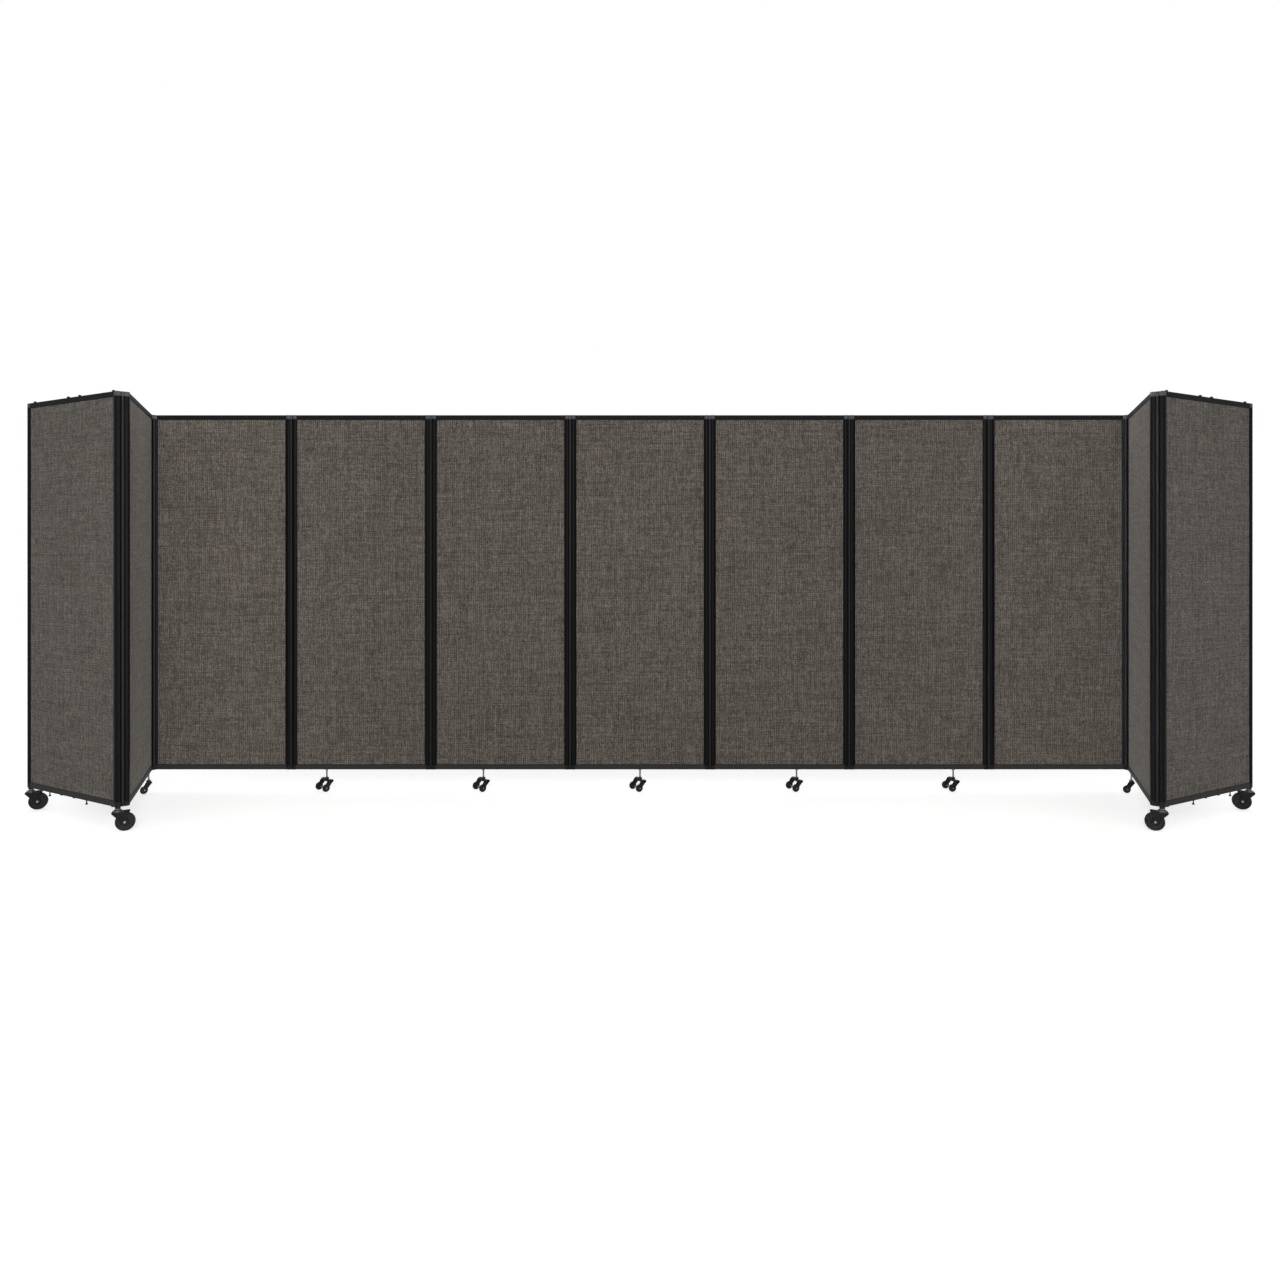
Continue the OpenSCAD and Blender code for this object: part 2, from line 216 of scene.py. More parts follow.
def slab(outline, low, high, edge=0.0, holes=()):
    """The outline in XY pushed up from low to high, with softened edges."""
    bm = bmesh.new()
    edges = []
    for loop in (outline, *holes):
        verts = [bm.verts.new((x, y, low)) for x, y in loop]
        edges += [bm.edges.new((verts[n - 1], verts[n])) for n in range(len(verts))]
    filled = bmesh.ops.triangle_fill(bm, use_beauty=True, use_dissolve=False, edges=edges)
    faces = [f for f in filled["geom"] if isinstance(f, bmesh.types.BMFace)]
    grown = bmesh.ops.extrude_face_region(bm, geom=faces)
    top = [v for v in grown["geom"] if isinstance(v, bmesh.types.BMVert)]
    bmesh.ops.translate(bm, verts=top, vec=(0, 0, high - low))
    bmesh.ops.recalc_face_normals(bm, faces=bm.faces)
    if edge > 0:
        rims = [e for e in bm.edges if len(e.link_faces) == 2 and is_rim(e)]
        bmesh.ops.bevel(bm, geom=rims, offset=edge, clamp_overlap=True, **SOFTENED)
    return bm


def is_rim(edge):
    """True for the sharp edges between a slab's flat ends and its sides."""
    a, b = (abs(f.normal.z) for f in edge.link_faces)
    return (a > 0.9) != (b > 0.9)


def block(size, edge):
    """A box with softened edges."""
    bm = bmesh.new()
    bmesh.ops.create_cube(bm, size=1)
    bmesh.ops.scale(bm, vec=size, verts=bm.verts)
    bmesh.ops.bevel(bm, geom=bm.edges[:], offset=edge, **SOFTENED)
    return bm


def turned(bm, matrix):
    bmesh.ops.transform(bm, matrix=matrix, verts=bm.verts)
    return bm


def moved(bm, x=0.0, y=0.0, z=0.0):
    return turned(bm, Matrix.Translation((x, y, z)))


def along_y(bm):
    """Turns a solid's Z axis onto Y, for what turns on an axle."""
    return turned(bm, Matrix.Rotation(math.radians(-90), 4, "X"))


def upright(bm):
    """Turns a slab drawn in XY upright: its Y becomes Z, its height lies along Y."""
    return turned(bm, Matrix.Rotation(math.radians(90), 4, "X"))


def joined(parts):
    """One mesh of several parts, which are used up. A part may be (mesh, slot)."""
    whole = bmesh.new()
    for part in parts:
        bm, index = part if isinstance(part, tuple) else (part, 0)
        for face in bm.faces:
            face.material_index = index
        loose = bpy.data.meshes.new("part")
        bm.to_mesh(loose)
        bm.free()
        whole.from_mesh(loose)
        bpy.data.meshes.remove(loose)
    return whole


def to_mesh(bm, materials=(), sharp=38):
    """Smooth, but for the edges where faces meet at more than sharp degrees."""
    mesh = bpy.data.meshes.new("piece")
    bm.to_mesh(mesh)
    bm.free()
    for material in materials:
        mesh.materials.append(material)
    mesh.shade_smooth()
    mesh.set_sharp_from_angle(angle=math.radians(sharp))
    return mesh


def linked(name, data):
    """A new object with that data, in the scene."""
    obj = bpy.data.objects.new(name, data)
    bpy.context.scene.collection.objects.link(obj)
    return obj


def set_piece(name, mesh, place, body, replaced=()):
    """A copy of the mesh at its place, riding on its body."""
    data = mesh.copy()
    data.transform(place @ Matrix.Scale(MM, 4))
    obj = linked(name, data)
    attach(obj, body)
    if replaced:
        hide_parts(*replaced)


# ---------- node helpers ----------


def feed(tree, node, inputs):
    """Sets inputs of a node to constants, or links them to other nodes' sockets."""
    for key, value in inputs.items():
        if isinstance(value, bpy.types.NodeSocket):
            tree.links.new(value, node.inputs[key])
        else:
            node.inputs[key].default_value = value


def add_node(tree, kind, inputs=None, **settings):
    node = tree.nodes.new(kind)
    for key, value in settings.items():
        setattr(node, key, value)
    feed(tree, node, inputs or {})
    return node


def calc(tree, operation, a, b=None, clamp=False):
    """A math node's output."""
    inputs = {0: a} if b is None else {0: a, 1: b}
    return add_node(tree, "ShaderNodeMath", inputs, operation=operation, use_clamp=clamp).outputs[0]


def mixed(tree, factor, a, b, kind="RGBA", blend="MIX"):
    inputs = {"Factor": factor, "A": a, "B": b}
    node = add_node(tree, "ShaderNodeMix", inputs, data_type=kind, blend_type=blend)
    return node.outputs["Result"]


def stretched_noise(tree, vector, scale, detail, rough=0.5):
    """Noise whose grain is drawn out: a large scale along an axis is fine grain."""
    mapping = add_node(tree, "ShaderNodeMapping", {"Vector": vector, "Scale": scale})
    inputs = {"Vector": mapping.outputs[0], "Scale": 1.0, "Detail": detail, "Roughness": rough}
    return add_node(tree, "ShaderNodeTexNoise", inputs).outputs[0]


SOCKET_KINDS = {int: "Int", float: "Float", tuple: "Color"}


def new_tree(name, kind, inputs, outputs):
    """A node group with named inputs and outputs: the tree, what it is given, and
    its end. Inputs have a default value, or else their type as a word."""
    tree = bpy.data.node_groups.new(name, kind)
    for label, value in inputs.items():
        word = value if isinstance(value, str) else SOCKET_KINDS[type(value)]
        socket = tree.interface.new_socket(label, in_out="INPUT", socket_type="NodeSocket" + word)
        if word != value:
            socket.default_value = value
    for label, word in outputs.items():
        tree.interface.new_socket(label, in_out="OUTPUT", socket_type="NodeSocket" + word)
    given = tree.nodes.new("NodeGroupInput").outputs
    return tree, given, tree.nodes.new("NodeGroupOutput")


# ---------- materials ----------


def linear(level):
    """A screen level from 0 to 255 as linear light."""
    c = level / 255
    return c / 12.92 if c <= 0.04045 else ((c + 0.055) / 1.055) ** 2.4


def colour(r, g, b):
    return (linear(r), linear(g), linear(b), 1.0)


def new_material(name, **inputs):
    """A material with its tree and its shader."""
    material = bpy.data.materials.new(name)
    material.use_nodes = True
    tree = material.node_tree
    shader = tree.nodes["Principled BSDF"]
    feed(tree, shader, inputs)
    return material, tree, shader


def paint(tree, shader, group, strength, depth):
    """Gives the shader a group's colour, and its height as bumps, depth in metres."""
    inputs = {"Strength": strength, "Distance": depth, "Height": group.outputs["Height"]}
    bump = add_node(tree, "ShaderNodeBump", inputs)
    feed(tree, shader, {"Base Color": group.outputs["Colour"], "Normal": bump.outputs[0]})


def worn_finish_group():
    """Fine grain, soft blotches and lighter worn edges, for moulded and painted parts."""
    inputs = {
        "Colour": (0.1, 0.1, 0.1, 1),
        "Edge Colour": (0.3, 0.3, 0.3, 1),
        "Edge Width": 0.001,
        "Edge Amount": 0.5,
        "Grain Scale": 900.0,
        "Roughness": 0.5,
    }
    outputs = {"Colour": "Color", "Roughness": "Float", "Height": "Float"}
    tree, given, end = new_tree("worn_finish", "ShaderNodeTree", inputs, outputs)
    place = add_node(tree, "ShaderNodeTexCoord").outputs["Object"]
    bevel = add_node(tree, "ShaderNodeBevel", {"Radius": given["Edge Width"]}, samples=4)
    plain = add_node(tree, "ShaderNodeNewGeometry").outputs["Normal"]
    normals = {0: bevel.outputs[0], 1: plain}
    dot = add_node(tree, "ShaderNodeVectorMath", normals, operation="DOT_PRODUCT")
    sharpness = calc(tree, "SUBTRACT", 1.0, dot.outputs["Value"])
    patches = stretched_noise(tree, place, (45, 45, 45), 4.0, 0.65)
    rubbed = calc(tree, "MULTIPLY", sharpness, 9.0)
    rubbed = calc(tree, "MULTIPLY", rubbed, patches)
    rubbed = calc(tree, "MULTIPLY", rubbed, given["Edge Amount"], clamp=True)
    blotches = stretched_noise(tree, place, (9, 9, 9), 3.0, 0.6)
    shade = add_node(tree, "ShaderNodeMapRange", {"Value": blotches, "To Min": 0.82, "To Max": 1.18})
    tint = mixed(tree, 1.0, given["Colour"], shade.outputs[0], blend="MULTIPLY")
    spread = calc(tree, "MULTIPLY", calc(tree, "SUBTRACT", blotches, 0.5), 0.25)
    inputs = {"Vector": place, "Scale": given["Grain Scale"], "Detail": 2.0}
    grain = add_node(tree, "ShaderNodeTexNoise", inputs)
    made = {
        "Colour": mixed(tree, rubbed, tint, given["Edge Colour"]),
        "Roughness": calc(tree, "ADD", given["Roughness"], spread, clamp=True),
        "Height": grain.outputs[0],
    }
    feed(tree, end, made)
    return tree


WORN_FINISH = worn_finish_group()

# width of a worn edge and depth of the grain, in metres
WORN_EDGE = 0.0012
GRAIN_DEPTH = 0.0002


def worn_material(name, base, edge, rough, grain, bump, amount=0.5, shine=0.5, metal=0.0):
    """Painted, moulded or plated finish. The base and the worn edges have screen
    levels from 0 to 255, and grain is the number of grains in a metre."""
    material, tree, shader = new_material(name, Metallic=metal)
    inputs = {
        "Colour": colour(*base),
        "Edge Colour": colour(*edge),
        "Edge Width": WORN_EDGE,
        "Edge Amount": amount,
        "Grain Scale": grain,
        "Roughness": rough,
    }
    group = add_node(tree, "ShaderNodeGroup", inputs, node_tree=WORN_FINISH)
    paint(tree, shader, group, bump, GRAIN_DEPTH)
    feed(tree, shader, {"Roughness": group.outputs["Roughness"], "Specular IOR Level": shine})
    return material


def thread_noise(tree, across, along, pitch, run):
    """A tone that is the same across one thread and drifts along it. Threads are
    pitch apart, and a tone lasts for about run, both in metres."""
    number = calc(tree, "FLOOR", calc(tree, "DIVIDE", across, pitch))
    spot = {"X": calc(tree, "MULTIPLY", number, THREAD_JUMP), "Y": calc(tree, "DIVIDE", along, run)}
    spot = add_node(tree, "ShaderNodeCombineXYZ", spot).outputs[0]
    inputs = {"Vector": spot, "Scale": 1.0, "Detail": 1.0}
    grain = add_node(tree, "ShaderNodeTexNoise", inputs, noise_dimensions="2D")
    return calc(tree, "SUBTRACT", grain.outputs[0], 0.5)


# from one thread's noise to the next's, so that they have nothing in common
THREAD_JUMP = 7.31
# widths of a rib of paired yarns, and of a single yarn
RIB_PITCH = 0.0064
YARN_WIDTH = 0.0013

# pitch, run and strength of the upright threads, and of the level ones
WARP_THREADS = [
    (0.0056, 0.30, 0.75),
    (0.0047, 0.050, 1.1),
    (0.0061, 0.012, 1.3),
    (YARN_WIDTH, 0.022, 1.0),
]
WEFT_THREADS = [
    (0.0056, 0.35, 0.7),
    (0.0047, 0.070, 0.75),
    (0.0061, 0.012, 0.45),
    (YARN_WIDTH, 0.026, 0.8),
]

# average of the sine's absolute value
MEAN_OF_WAVE = 2 / math.pi


def wave(tree, value):
    """Sine that passes through nought at each whole number."""
    return calc(tree, "SINE", calc(tree, "MULTIPLY", value, math.pi))


def weave_group():
    """Plain weave of slubby threads. The vector is in metres on the cloth."""
    inputs = {
        "Vector": "Vector",
        "Dark": (0.05, 0.05, 0.05, 1),
        "Light": (0.2, 0.2, 0.2, 1),
        "Contrast": 1.0,
        "Yarn Width": YARN_WIDTH,
    }
    outputs = {"Colour": "Color", "Height": "Float"}
    tree, given, end = new_tree("slub_weave", "ShaderNodeTree", inputs, outputs)
    vector = given["Vector"]
    split = add_node(tree, "ShaderNodeSeparateXYZ", {0: vector}).outputs
    # the threads wander a little, so the rows aren't ruled lines
    wander = calc(tree, "MULTIPLY", stretched_noise(tree, vector, (5, 5, 1), 1.0), 0.012)
    across = calc(tree, "ADD", split["X"], wander)
    up = calc(tree, "ADD", split["Y"], wander)
    tone = stretched_noise(tree, vector, (16, 16, 1), 3.0, 0.6)
    tone = calc(tree, "SUBTRACT", tone, 0.5)
    tone = calc(tree, "MULTIPLY", tone, 0.15)
    for threads, one, other in ((WARP_THREADS, across, up), (WEFT_THREADS, up, across)):
        for pitch, run, strength in threads:
            slub = thread_noise(tree, one, other, pitch, run)
            tone = calc(tree, "ADD", tone, calc(tree, "MULTIPLY", slub, strength))
    # paired yarns: every other rib stands out, more in some patches than in others
    patch = calc(tree, "SUBTRACT", stretched_noise(tree, vector, (22, 14, 1), 1.0), 0.25)
    for one, strength in ((across, 0.9), (up, 0.35)):
        rib = wave(tree, calc(tree, "DIVIDE", one, RIB_PITCH))
        rib = calc(tree, "MULTIPLY", rib, strength)
        rib = calc(tree, "MULTIPLY", rib, patch)
        tone = calc(tree, "ADD", tone, rib)
    # over and under: each yarn crosses its neighbours in turn
    column = calc(tree, "DIVIDE", across, given["Yarn Width"])
    row = calc(tree, "DIVIDE", up, given["Yarn Width"])
    warp = calc(tree, "ABSOLUTE", wave(tree, column))
    weft = calc(tree, "ABSOLUTE", wave(tree, row))
    checker = calc(tree, "ADD", calc(tree, "FLOOR", column), calc(tree, "FLOOR", row))
    checker = calc(tree, "PINGPONG", checker, 1.0)
    height = mixed(tree, checker, warp, weft, kind="FLOAT")
    yarn = calc(tree, "MULTIPLY", calc(tree, "SUBTRACT", height, MEAN_OF_WAVE), 0.9)
    shade = calc(tree, "ADD", tone, yarn)
    shade = calc(tree, "MULTIPLY", shade, given["Contrast"])
    shade = calc(tree, "ADD", shade, 0.5, clamp=True)
    shade = calc(tree, "POWER", shade, 1.7)
    cloth = mixed(tree, shade, given["Dark"], given["Light"])
    feed(tree, end, {"Colour": cloth, "Height": calc(tree, "ADD", tone, height)})
    return tree


def cloth_material():
    material, tree, shader = new_material("grey_brown_cloth", Roughness=0.92)
    sheen = {"Sheen Weight": 0.08, "Sheen Roughness": 0.5, "Specular IOR Level": 0.15}
    feed(tree, shader, sheen)
    inputs = {
        "Vector": add_node(tree, "ShaderNodeUVMap", uv_map="cloth").outputs[0],
        "Dark": colour(56, 51, 45),
        "Light": colour(132, 125, 117),
        "Contrast": 0.55,
        "Yarn Width": YARN_WIDTH,
    }
    group = add_node(tree, "ShaderNodeGroup", inputs, node_tree=weave_group())
    paint(tree, shader, group, 0.5, 0.0004)
    return material


CLOTH = cloth_material()
# name, base, worn edge, roughness, grain, bump, amount of wear, shine
POST_BLACK = worn_material("anodised_post_black", (12, 12, 14), (36, 36, 39), 0.42, 1500, 0.08, 0.3, 0.06)
TOP_RAIL_BLACK = worn_material("top_rail_black", (24, 24, 25), (48, 48, 49), 0.62, 1200, 0.15, 0.35, 0.06)
# the bottom rail has the top rail's paint, painted lighter: painted light for the light the floor throws
# up onto it
BOTTOM_RAIL_PAINTED_FLOOR_LIGHT = worn_material(
    "bottom_rail_black", (50, 50, 50), (76, 76, 76), 0.66, 1200, 0.15, 0.35, 0.08
)
# the cover strip's black is painted lighter than the posts: a painted highlight for the bright line down
# its bead
STRIP_PAINTED_HIGHLIGHT_BLACK = worn_material("cover_strip_black", (32, 32, 35), (54, 54, 57), 0.4, 1500, 0.08, 0.4, 0.12)
BEAD_BLACK = worn_material("rubber_bead", (16, 15, 15), (30, 30, 30), 0.7, 900, 0.2, 0.2, 0.08)
CAP_GREY = worn_material("moulded_cap_grey", (72, 71, 74), (104, 104, 106), 0.5, 700, 0.25, 0.4, 0.2)
CAP_BLACK = worn_material("moulded_cap_black", (28, 28, 29), (58, 58, 59), 0.5, 700, 0.25, 0.4, 0.1)
FORK_BLACK = worn_material("stamped_fork_black", (24, 24, 25), (72, 72, 74), 0.42, 800, 0.2, 0.5, 0.12)
TREAD_RUBBER = worn_material("tread_rubber", (40, 40, 40), (58, 58, 58), 0.7, 500, 0.35, 0.4, 0.08)
HUB_GREY = worn_material("hub_grey", (46, 46, 47), (84, 84, 85), 0.5, 700, 0.2, 0.5, 0.15)
PEDAL_BLACK = worn_material("pedal_black", (24, 24, 25), (60, 60, 62), 0.5, 600, 0.3, 0.5, 0.1)
SCREW_BLACK = worn_material("screw_black", (32, 32, 34), (88, 88, 90), 0.38, 800, 0.1, 0.6, 0.15)
ZINC = worn_material("dull_zinc", (104, 106, 109), (156, 157, 160), 0.42, 400, 0.1, metal=1.0)
BOLT_STEEL = worn_material("bolt_steel", (126, 128, 131), (170, 171, 173), 0.4, 400, 0.1, metal=1.0)

# ---------- Geometry Nodes: what repeats or follows a path ----------


def geometry_tree(name, **inputs):
    inputs = {label.replace("_", " "): value for label, value in inputs.items()}
    inputs["Material"] = "Material"
    return new_tree(name, "GeometryNodeTree", inputs, {"Geometry": "Geometry"})


def finish_tree(tree, given, end, geometry):
    """Ends a tree as the export needs it: real geometry with its material."""
    real = add_node(tree, "GeometryNodeRealizeInstances", {0: geometry})
    inputs = {"Geometry": real.outputs[0], "Material": given["Material"]}
    feed(tree, end, {0: add_node(tree, "GeometryNodeSetMaterial", inputs).outputs[0]})


def copy_part(tree, given, end, points, **more):
    """Ends a tree with a copy of its Part on each point."""
    part = add_node(tree, "GeometryNodeObjectInfo", {"Object": given["Part"]})
    inputs = {"Points": points, "Instance": part.outputs["Geometry"], **more}
    copies = add_node(tree, "GeometryNodeInstanceOnPoints", inputs)
    finish_tree(tree, given, end, copies.outputs[0])


def ring_tree():
    """Copies of one part, evenly round the Z axis, each turned to face outwards."""
    tree, given, end = geometry_tree("ring_of_parts", Part="Object", Count=8, Radius=10.0)
    inputs = {"Vertices": given["Count"], "Radius": given["Radius"]}
    ring = add_node(tree, "GeometryNodeMeshCircle", inputs)
    index = add_node(tree, "GeometryNodeInputIndex").outputs[0]
    angle = calc(tree, "MULTIPLY", calc(tree, "DIVIDE", index, given["Count"]), 2 * math.pi)
    rotation = add_node(tree, "ShaderNodeCombineXYZ", {"Z": angle}).outputs[0]
    copy_part(tree, given, end, ring.outputs[0], Rotation=rotation)
    return tree


def row_tree():
    """Copies of one part, evenly along a straight line from Start to End."""
    ends = {"Start": "Vector", "End": "Vector"}
    tree, given, end = geometry_tree("row_of_parts", Part="Object", Count=8, **ends)
    inputs = {"Count": given["Count"], "Start Location": given["Start"], "Offset": given["End"]}
    line = add_node(tree, "GeometryNodeMeshLine", inputs, mode="END_POINTS")
    copy_part(tree, given, end, line.outputs[0])
    return tree


def bead_tree():
    """A round bead that follows a rectangle with soft corners in the XY plane."""
    sizes = {"Width": 800.0, "Height": 2000.0, "Corner": 4.0, "Bead_Radius": BEAD_R}
    tree, given, end = geometry_tree("bead_round_a_panel", **sizes)
    sides = {"Width": given["Width"], "Height": given["Height"]}
    path = add_node(tree, "GeometryNodeCurvePrimitiveQuadrilateral", sides)
    inputs = {"Curve": path.outputs[0], "Count": 4, "Radius": given["Corner"]}
    soft = add_node(tree, "GeometryNodeFilletCurve", inputs, mode="POLY")
    circle = {"Resolution": 10, "Radius": given["Bead Radius"]}
    circle = add_node(tree, "GeometryNodeCurvePrimitiveCircle", circle)
    inputs = {"Curve": soft.outputs[0], "Profile Curve": circle.outputs[0]}
    sweep = add_node(tree, "GeometryNodeCurveToMesh", inputs)
    finish_tree(tree, given, end, sweep.outputs[0])
    return tree


RING_TREE = ring_tree()
ROW_TREE = row_tree()
BEAD_TREE = bead_tree()


def grown(tree, part=None, **values):
    """What a tree makes from its named inputs, and from one part if it copies any."""
    if part:
        pattern = bpy.data.objects.new("pattern", to_mesh(part))
        values["Part"] = pattern
    carrier = linked("carrier", bpy.data.meshes.new("carrier"))
    modifier = carrier.modifiers.new("nodes", "NODES")
    modifier.node_group = tree
    for item in tree.interface.items_tree:
        label = item.name.replace(" ", "_")
        if item.in_out == "INPUT" and label in values:
            modifier[item.identifier] = values[label]
    evaluated = carrier.evaluated_get(bpy.context.evaluated_depsgraph_get())
    bm = bmesh.new()
    bm.from_mesh(bpy.data.meshes.new_from_object(evaluated))
    bpy.data.objects.remove(carrier)
    if part:
        bpy.data.objects.remove(pattern)
    return bm


def round_bolt_head(radius, height, socket_r):
    """A round head with a six-sided socket, standing on z = 0."""
    outline = circle_points(radius, 24)
    hexagon = circle_points(socket_r, 6)
    ring = slab(outline, 0, height, edge=height * 0.35, holes=[hexagon])
    floor = slab(hexagon, 0, height * 0.35)
    return joined([ring, floor])


def hex_head(across, height):
    return slab(circle_points(across / 2 / math.cos(math.pi / 6), 6), 0, height, edge=height * 0.12)


# ---------- panels ----------


def post_mesh():
    """Round tube with a bored plug in each end; a fine seam under each flange."""
    low = LOW_Z + CAP_H + CAP_GAP
    high = HIGH_Z - CAP_H - CAP_GAP
    r = POST_D / 2
    bore = PIN_D / 2 + FIT
    deep = PIN_L + 6
    seam = 0.35
    # bore, flange and seam at one end, from the bore's floor outwards
    end = [(0, deep), (bore, deep), (bore, 0), (r - 0.8, 0), (r, 0.8), (r, FLANGE_T - seam)]
    end += [(r - seam, FLANGE_T), (r, FLANGE_T + seam)]
    profile = [(x, low + z) for x, z in end] + [(x, high - z) for x, z in reversed(end)]
    return to_mesh(revolve(profile, 56), [POST_BLACK])


def split_long(points, most):
    """The closed outline with extra points, so that no side is longer than most."""
    made = []
    for n, here in enumerate(points):
        there = points[(n + 1) % len(points)]
        cuts = max(1, math.ceil(math.dist(here, there) / most))
        for c in range(cuts):
            t = c / cuts
            made.append((here[0] + (there[0] - here[0]) * t, here[1] + (there[1] - here[1]) * t))
    return made


def rail_mesh(h, material):
    """Channel rail with its outer edge at z = 0 and its channel opening up. Its
    ends are shaped round the posts."""
    half = RAIL_T / 2
    inner = half - RAIL_WALL
    floor = h - CHANNEL_LAP
    groove = 0.5
    middle = (floor + 2) * 0.5
    side = [(half, 0), (half, middle - 2 * groove), (half - groove, middle)]
    side += [(half, middle + 2 * groove), (half, h), (inner, h), (inner, floor)]
    outline = side + [(-y, z) for y, z in reversed(side)]
    radii = [1.4, 0, 0.2, 0, 0.7, 0.7, 0.4]
    section = split_long(rounded(outline, radii + radii[::-1], 3), 3.2)
    bm = slab(section, -1, 1)
    reach = POST_D / 2 + COPE
    for v in bm.verts:
        y, z, s = v.co.x, v.co.y, (1 if v.co.z > 0 else -1)
        end_x = POST_X - math.sqrt(reach * reach - y * y)
        v.co = (s * end_x, y, z)
    bmesh.ops.recalc_face_normals(bm, faces=bm.faces)
    return to_mesh(bm, [material])


def board_mesh(i):
    """Cloth wrapped board: two slightly uneven faces and rolled edges, with a
    UV map in metres that the weave follows."""
    low = LOW_Z + BOTTOM_RAIL_H - CHANNEL_LAP + 0.2
    high = HIGH_Z - TOP_RAIL_H + CHANNEL_LAP - 0.2
    half_w = POST_X - POST_D / 2 + 3.2
    half_t = BOARD_T / 2
    columns, rows = 48, 110
    roll = 2.5
    bm = bmesh.new()
    uv = bm.loops.layers.uv.new("cloth")
    # the section's outline: front face, rolled edge, back face, rolled edge
    front = [(-half_w + roll + (half_w - roll) * 2 * c / columns, -half_t) for c in range(columns + 1)]
    turns = (0.4, 0.8, 1.2)
    edge = [(half_w - roll + roll * math.sin(a), -half_t + roll - roll * math.cos(a)) for a in turns]
    side = front + edge + [(half_w, -half_t + roll + 0.5)]
    section = side + [(-x, -y) for x, y in side]
    lengths = [0.0]
    for a, b in zip(section, section[1:] + section[:1]):
        lengths.append(lengths[-1] + math.dist(a, b))
    rings = []
    for r in range(rows + 1):
        z = low + (high - low) * r / rows
        ring = []
        for x, y in section:
            seed = Vector((x * 0.006 + i * 7.3, z * 0.003, 0.0 if y < 0 else 40.0))
            ease = min(1.0, (half_w - abs(x)) / 60, (z - low) / 60, (high - z) / 60)
            swell = noise.noise(seed) * 0.35 * max(0.0, ease)
            ring.append(bm.verts.new((x, y + (swell if y > 0 else -swell), z)))
        rings.append(ring)
    count = len(section)
    for r in range(rows):
        for n in range(count):
            m = (n + 1) % count
            face = bm.faces.new((rings[r][n], rings[r][m], rings[r + 1][m], rings[r + 1][n]))
            heights = [low + (high - low) * q / rows for q in (r, r, r + 1, r + 1)]
            for loop, across, z in zip(face.loops, (n, n + 1, n + 1, n), heights):
                loop[uv].uv = (lengths[across] * MM + 3.1 * i, z * MM)
    for ring, flip in ((rings[0], True), (rings[-1], False)):
        face = bm.faces.new(ring[::-1] if flip else ring)
        for loop in face.loops:
            loop[uv].uv = (loop.vert.co.x * MM, loop.vert.co.y * MM)
    return to_mesh(bm, [CLOTH], sharp=60)


def bead_mesh():
    """Rubber beads between the cloth and its frame, front and back."""
    open_low = LOW_Z + BOTTOM_RAIL_H
    open_high = HIGH_Z - TOP_RAIL_H
    inset = POST_D / 2 - 1.2
    size = {"Width": 2 * (POST_X - inset), "Height": open_high - open_low - 0.6, "Corner": 2.0}
    sides = []
    for s in (-1, 1):
        bm = upright(grown(BEAD_TREE, Bead_Radius=BEAD_R, Material=BEAD_BLACK, **size))
        sides.append(moved(bm, y=s * (BOARD_T / 2 + BEAD_R * 0.35), z=(open_low + open_high) / 2))
    return to_mesh(joined(sides), [BEAD_BLACK])


def rail_screws_mesh():
    """Countersunk screws that hold each rail's ends, front and back."""
    rows = []
    x = POST_X - POST_D / 2 - 16
    for z in (LOW_Z + BOTTOM_RAIL_H * 0.27, HIGH_Z - TOP_RAIL_H * 0.27):
        for s in (-1, 1):
            head = round_bolt_head(3.4, 1.1, 1.5)
            ends = {"Start": (-x, 0, 0), "End": (x, 0, 0)}
            row = upright(grown(ROW_TREE, head, Count=2, Material=SCREW_BLACK, **ends))
            if s > 0:
                row = turned(row, Matrix.Rotation(math.pi, 4, "Z"))
            rows.append(moved(row, y=s * RAIL_T / 2, z=z))
    return to_mesh(joined(rows), [SCREW_BLACK])


def end_caps_mesh():
    """Grey cap on a free post's top, bored for a pin, and a black one under it,
    bored for the caster's stem."""
    r = POST_D / 2
    bore = PIN_D / 2 + FIT
    foot = HIGH_Z - CAP_H - CAP_GAP + 0.1
    soft = 5.0
    crown = arc(r - soft, HIGH_Z - soft, soft, 0, 90, 6)
    cap = [(bore, foot), (r, foot), *crown, (bore + 1.0, HIGH_Z), (bore, HIGH_Z - 1.0)]
    bore = STEM_R + 0.1
    soft = 3.0
    head = LOW_Z + CAP_H + CAP_GAP - 0.1
    round_foot = arc(r - soft, LOW_Z + soft, soft, -90, 0, 6)
    under = [(bore, LOW_Z), *round_foot, (r, head), (bore, head)]
    caps = joined([(revolve(cap, 48), 0), (revolve(under, 48), 1)])
    return to_mesh(caps, [CAP_GREY, CAP_BLACK])


def sleeve_mesh():
    """Flanged steel sleeve that takes an inner caster's stem."""
    bore = INNER_STEM_R + FIT
    flange = [(bore, LOW_Z - 3), (11.2, LOW_Z - 3), (12, LOW_Z - 2.2), (12, LOW_Z)]
    profile = [*flange, (9, LOW_Z), (9, LOW_Z + 30), (bore, LOW_Z + 30)]
    return to_mesh(revolve(profile, 40), [ZINC])


